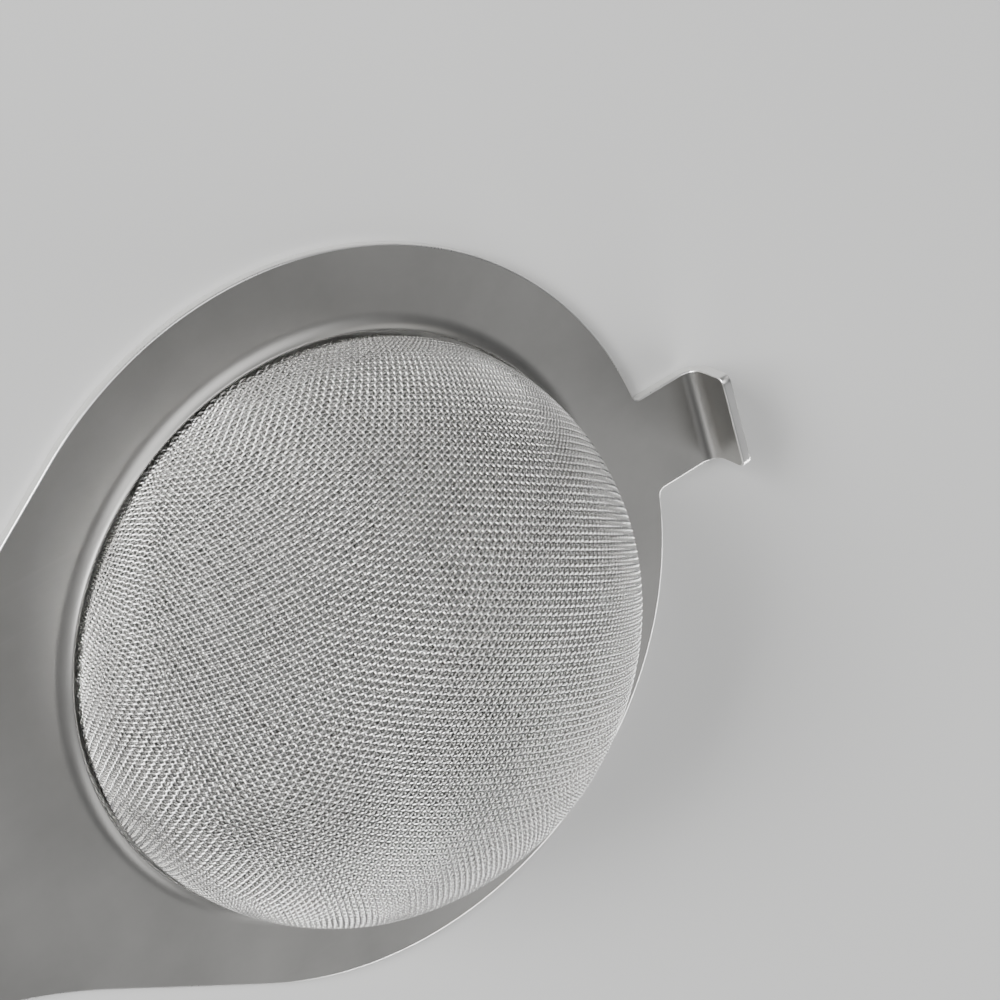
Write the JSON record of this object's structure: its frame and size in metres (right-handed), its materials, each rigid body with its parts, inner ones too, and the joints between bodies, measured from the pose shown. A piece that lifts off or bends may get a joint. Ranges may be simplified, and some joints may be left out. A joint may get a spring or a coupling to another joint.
{
  "type": "double sieve strainer",
  "caption": "Hand strainer: a flat steel plate with handle and pot hook, and a domed bowl of two nested wire cloths in its drawn collar.",
  "frame": {"origin": "centre of the strainer's round mouth, in the plane of the plate's in-use top face, which the strainer rests on here", "axes": "+Z along the bowl's axis towards the bowl's crown (downwards in use), +X towards the pot hook, the handle along -X"},
  "size_m": [0.1838, 0.08, 0.0269],
  "materials": {
    "plate_steel": "satin bead-blasted stainless sheet, bright tumbled edges",
    "fine_cloth": "bright plain-woven stainless wire cloth, about 0.5 x 0.6 mm pitch",
    "coarse_cloth": "plain-woven stainless wire cloth, about 0.7 x 0.9 mm pitch",
    "ring_steel": "satin stainless strip"
  },
  "bodies": {
    "root": {"strainer_plate": "plate_steel", "outer_sieve": "fine_cloth", "inner_sieve": "coarse_cloth", "retaining_ring": "ring_steel"}
  },
  "joints": []
}
